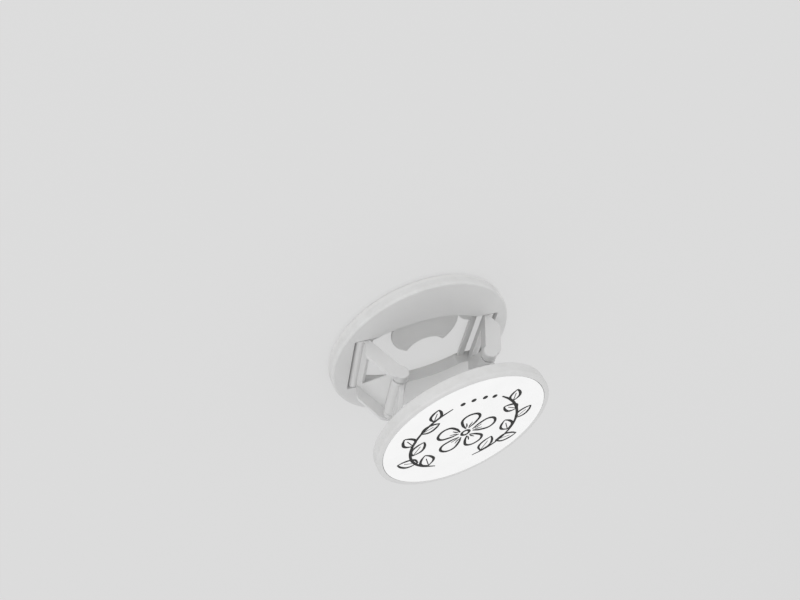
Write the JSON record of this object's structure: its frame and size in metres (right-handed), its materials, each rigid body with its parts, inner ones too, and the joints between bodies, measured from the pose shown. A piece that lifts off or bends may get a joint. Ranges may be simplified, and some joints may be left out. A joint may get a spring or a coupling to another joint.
{
  "type": "phone grip",
  "caption": "Round folding grip: a pad-backed base and a smaller disc joined by knee-jointed hinged legs that fold inward so the disc drops flat onto the base.",
  "frame": {"origin": "centre of the base on the underside of the adhesive pad", "axes": "+Z away from the pad towards the disc, X from leg to leg, Y along the hinge pins"},
  "size_m": [0.0396, 0.0396, 0.0234],
  "materials": {
    "shell": "satin moulded white",
    "leg": "satin moulded white",
    "insert": "gloss white face with thin dark line motifs",
    "pin": "drawn wire",
    "adhesive": "white foam tape"
  },
  "bodies": {
    "base": {"adhesive_pad": "adhesive", "base_plate": "shell", "base_pin_left": "pin", "base_pin_right": "pin"},
    "lower_left": {"lower_leg_left": "leg", "knee_pin_left": "pin"},
    "upper_left": {"upper_leg_left": "leg"},
    "disc": {"grip_disc": "shell", "face_insert": "insert", "top_pin_left": "pin", "top_pin_right": "pin"},
    "lower_right": {"lower_leg_right": "leg", "knee_pin_right": "pin"},
    "upper_right": {"upper_leg_right": "leg"}
  },
  "joints": [
    {"name": "left_base_hinge", "type": "hinge", "parent": "base", "child": "lower_left", "pos_m": [-0.0144, 0, 0.0019], "axis": [0, 1, 0], "range_deg": [0, 57.8]},
    {"name": "left_knee", "type": "hinge", "parent": "lower_left", "child": "upper_left", "pos_m": [-0.00966, 0, 0.01154], "axis": [0, -1, 0], "range_deg": [0, 115.6]},
    {"name": "disc_hinge", "type": "hinge", "parent": "upper_left", "child": "disc", "pos_m": [-0.0144, 0, 0.02117], "axis": [0, 1, 0], "range_deg": [0, 57.8]},
    {"name": "right_base_hinge", "type": "hinge", "parent": "base", "child": "lower_right", "pos_m": [0.0144, 0, 0.0019], "axis": [0, -1, 0], "range_deg": [0, 57.8]},
    {"name": "right_knee", "type": "hinge", "parent": "lower_right", "child": "upper_right", "pos_m": [0.00966, 0, 0.01154], "axis": [0, 1, 0], "range_deg": [0, 115.6]}
  ],
  "couplings": [
    {"joint": "left_knee", "follows": "left_base_hinge", "ratio": 2},
    {"joint": "disc_hinge", "follows": "left_base_hinge", "ratio": 1},
    {"joint": "right_base_hinge", "follows": "left_base_hinge", "ratio": 1},
    {"joint": "right_knee", "follows": "left_base_hinge", "ratio": 2}
  ]
}
